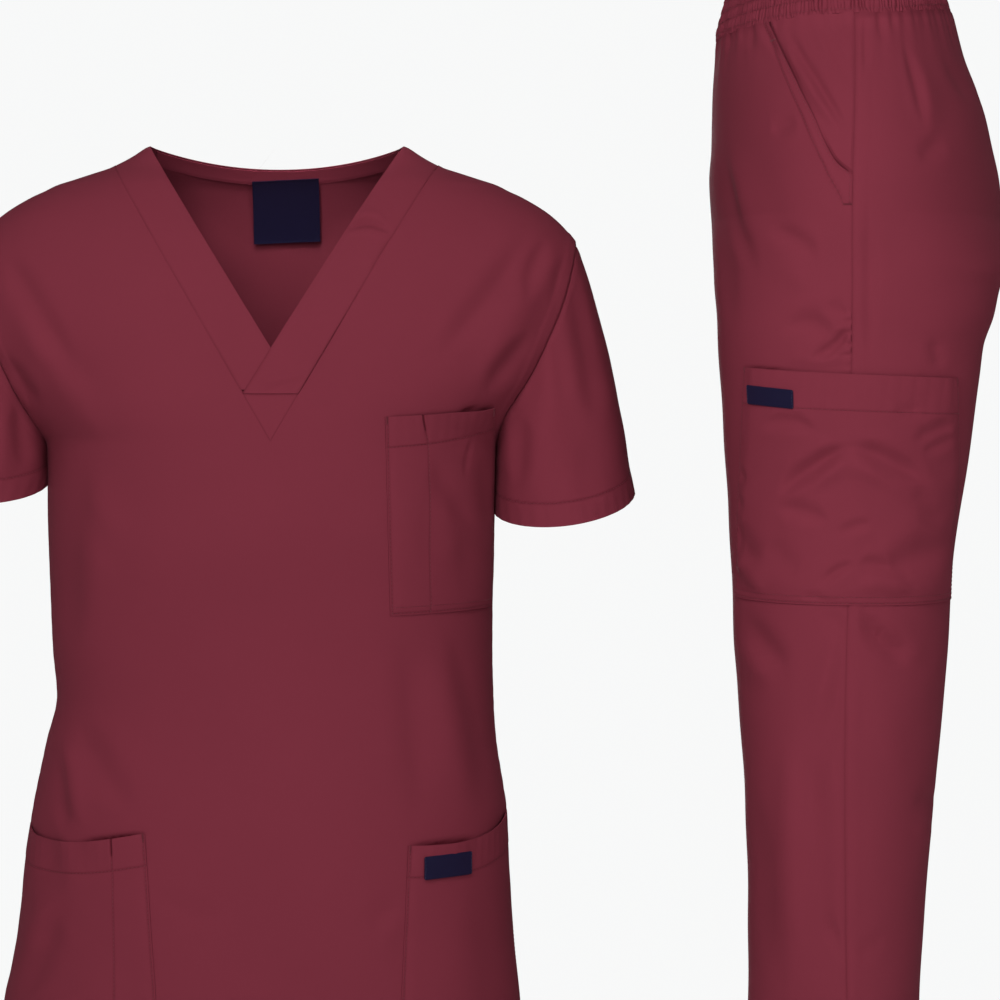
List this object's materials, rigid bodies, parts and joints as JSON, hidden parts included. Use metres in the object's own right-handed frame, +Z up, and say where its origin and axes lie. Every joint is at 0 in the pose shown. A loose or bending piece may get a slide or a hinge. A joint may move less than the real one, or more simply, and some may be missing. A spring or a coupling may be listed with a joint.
{
  "type": "medical scrubs set, a V-neck top and cargo trousers, filled out as worn",
  "caption": "Hollow V-neck short-sleeved scrub top and, beside it, straight elastic-waist scrub trousers, both filled out as worn, with patch, slant and cargo pockets.",
  "frame": {"origin": "midway between the two neck points of the top, where a wearer's shoulders carry it; the trousers stand beside it, their waist's middle 0.442 m to +X", "axes": "+Z up; the top faces -Y with the wearer's left at +X; the trousers' front faces -X and their left leg is nearest -Y, turned 3.7 degrees past a quarter turn"},
  "size_m": [0.856, 0.3592, 1.021],
  "materials": {
    "wine_poplin": "matte plain-weave polyester and cotton cloth with a slight sheen",
    "navy_woven": "close woven ribbon with a soft satin sheen, bare of any text"
  },
  "bodies": {
    "root": {"top_front": "wine_poplin", "top_back": "wine_poplin", "sleeve_left": "wine_poplin", "sleeve_right": "wine_poplin", "neckband_left": "wine_poplin", "neckband_right": "wine_poplin", "neck_insert": "wine_poplin", "back_neck_tape": "wine_poplin", "neck_label": "navy_woven", "chest_pocket": "wine_poplin", "lower_pocket_left": "wine_poplin", "lower_pocket_right": "wine_poplin", "pocket_tag": "navy_woven", "trouser_front_left": "wine_poplin", "trouser_front_right": "wine_poplin", "trouser_back_left": "wine_poplin", "trouser_back_right": "wine_poplin", "pocket_facing_left": "wine_poplin", "pocket_facing_right": "wine_poplin", "waistband": "wine_poplin", "cargo_pocket": "wine_poplin", "cargo_tag": "navy_woven"}
  },
  "joints": []
}
